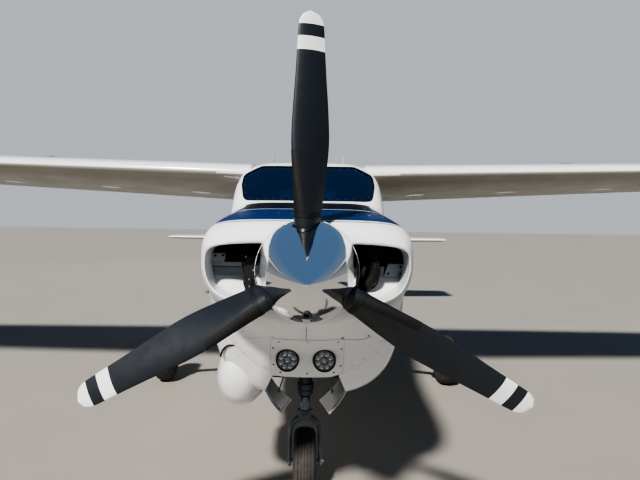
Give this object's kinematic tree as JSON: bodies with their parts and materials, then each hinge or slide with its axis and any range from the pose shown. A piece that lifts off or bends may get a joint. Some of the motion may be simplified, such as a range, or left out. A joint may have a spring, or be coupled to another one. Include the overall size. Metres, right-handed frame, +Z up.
{
  "type": "single-engine piston aircraft",
  "caption": "High-wing single-engine piston aircraft with a bladed tractor propeller, parked on retractable tricycle gear, with opening cabin doors and moving control surfaces.",
  "frame": {"origin": "on the ground, under the middle of the length and on the plane of symmetry", "axes": "+Z up, the nose points along -Y, +X is the pilot's left-hand side and the span runs along X"},
  "size_m": [11.2, 8.5903, 2.95],
  "materials": {
    "white_paint": "gloss white polyurethane paint over aluminium sheet",
    "blue_paint": "gloss dark blue polyurethane paint with a black band and thin white lines",
    "polished_metal": "mirror polished aluminium",
    "steel": "machined and plated steel",
    "blade_paint": "satin black paint with white and black bands at the tips",
    "engine_iron": "dark heat-proof paint on castings",
    "lamp": "clear lens over light-emitting cells",
    "glass": "blue-tinted acrylic glazing",
    "cabin_trim": "matt moulded trim",
    "seat_cover": "woven seat cloth",
    "gear_paint": "grey epoxy paint on steel",
    "rubber": "worn tyre rubber",
    "wheel_metal": "white painted cast wheel"
  },
  "bodies": {
    "airframe": {"nose_bowl": "white_paint", "upper_cowl": "blue_paint", "lower_cowl": "white_paint", "engine_block": "engine_iron", "landing_lamps": "lamp", "firewall": "steel", "front_fuselage": "white_paint", "cabin_lower": "white_paint", "cabin_upper": "white_paint", "cabin_floor": "cabin_trim", "instrument_panel": "cabin_trim", "seat_front_right": "seat_cover", "seat_front_left": "seat_cover", "seat_middle": "seat_cover", "seat_rear": "seat_cover", "windshield": "glass", "rear_window": "glass", "window_middle_right": "glass", "window_rear_right": "glass", "window_middle_left": "glass", "window_rear_left": "glass", "wing_right": "white_paint", "wing_left": "white_paint", "tail_cone": "white_paint", "fin": "white_paint", "tailplane_right": "white_paint", "tailplane_left": "white_paint", "main_leg_right": "gear_paint", "main_leg_left": "gear_paint", "nose_strut": "gear_paint", "nose_gear_door_right": "white_paint", "nose_gear_door_left": "white_paint"},
    "propeller": {"spinner": "polished_metal", "propeller_hub": "steel", "blade_1": "blade_paint", "blade_2": "blade_paint", "blade_3": "blade_paint"},
    "nose_steering": {"nose_fork": "gear_paint"},
    "nose_wheel": {"nose_tyre": "rubber", "nose_rim": "wheel_metal"},
    "main_wheel_right": {"main_tyre_right": "rubber", "main_rim_right": "wheel_metal"},
    "main_wheel_left": {"main_tyre_left": "rubber", "main_rim_left": "wheel_metal"},
    "cabin_door_right": {"door_right": "white_paint", "door_glass_right": "glass"},
    "cabin_door_left": {"door_left": "white_paint", "door_glass_left": "glass"},
    "wing_flap_right": {"flap_right": "white_paint"},
    "wing_flap_left": {"flap_left": "white_paint"},
    "wing_aileron_right": {"aileron_right": "white_paint"},
    "wing_aileron_left": {"aileron_left": "white_paint"},
    "elevators": {"elevator_right": "white_paint", "elevator_left": "white_paint"},
    "rudder_panel": {"rudder": "white_paint"}
  },
  "joints": [
    {"name": "propeller_spin", "type": "hinge", "parent": "airframe", "child": "propeller", "pos_m": [0, -3.935, 1.33], "axis": [0, 1, 0], "continuous": true},
    {"name": "nose_steer", "type": "hinge", "parent": "airframe", "child": "nose_steering", "pos_m": [0, -3.1, 0.45], "axis": [0, 0, 1], "range_deg": [-30, 30]},
    {"name": "nose_wheel_spin", "type": "hinge", "parent": "nose_steering", "child": "nose_wheel", "pos_m": [0, -3.065, 0.1805], "axis": [1, 0, 0], "continuous": true},
    {"name": "main_wheel_spin_right", "type": "hinge", "parent": "airframe", "child": "main_wheel_right", "pos_m": [-1.32, -1.115, 0.2225], "axis": [1, 0, 0], "continuous": true},
    {"name": "main_wheel_spin_left", "type": "hinge", "parent": "airframe", "child": "main_wheel_left", "pos_m": [1.32, -1.115, 0.2225], "axis": [1, 0, 0], "continuous": true},
    {"name": "door_swing_right", "type": "hinge", "parent": "airframe", "child": "cabin_door_right", "pos_m": [-0.553, -2.435, 1.25], "axis": [0, 0, 1], "range_deg": [0, 75]},
    {"name": "door_swing_left", "type": "hinge", "parent": "airframe", "child": "cabin_door_left", "pos_m": [0.553, -2.435, 1.25], "axis": [0, 0, -1], "range_deg": [0, 75]},
    {"name": "flap_left_hinge", "type": "hinge", "parent": "airframe", "child": "wing_flap_left", "pos_m": [0.64, -0.95186, 1.80066], "axis": [-0.9983, 0.0416, -0.0415], "range_deg": [0, 30]},
    {"name": "flap_right_hinge", "type": "hinge", "parent": "airframe", "child": "wing_flap_right", "pos_m": [-0.64, -0.95186, 1.80066], "axis": [-0.9983, -0.0416, 0.0415], "range_deg": [0, 30]},
    {"name": "aileron_left_hinge", "type": "hinge", "parent": "airframe", "child": "wing_aileron_left", "pos_m": [3.185, -1.00056, 1.90033], "axis": [-0.9982, 0.0465, -0.0386], "range_deg": [-20, 20]},
    {"name": "aileron_right_hinge", "type": "hinge", "parent": "airframe", "child": "wing_aileron_right", "pos_m": [-3.185, -1.00056, 1.90033], "axis": [-0.9982, -0.0465, 0.0386], "range_deg": [-20, 20]},
    {"name": "elevator_hinge", "type": "hinge", "parent": "airframe", "child": "elevators", "pos_m": [0, 3.575, 1.186], "axis": [1, 0, 0], "range_deg": [-17, 25]},
    {"name": "rudder_hinge", "type": "hinge", "parent": "airframe", "child": "rudder_panel", "pos_m": [0, 3.355, 1.405], "axis": [0, 0.4286, 0.9035], "range_deg": [-24, 24]}
  ],
  "couplings": [
    {"joint": "flap_right_hinge", "follows": "flap_left_hinge", "ratio": 1},
    {"joint": "aileron_right_hinge", "follows": "aileron_left_hinge", "ratio": -1}
  ]
}
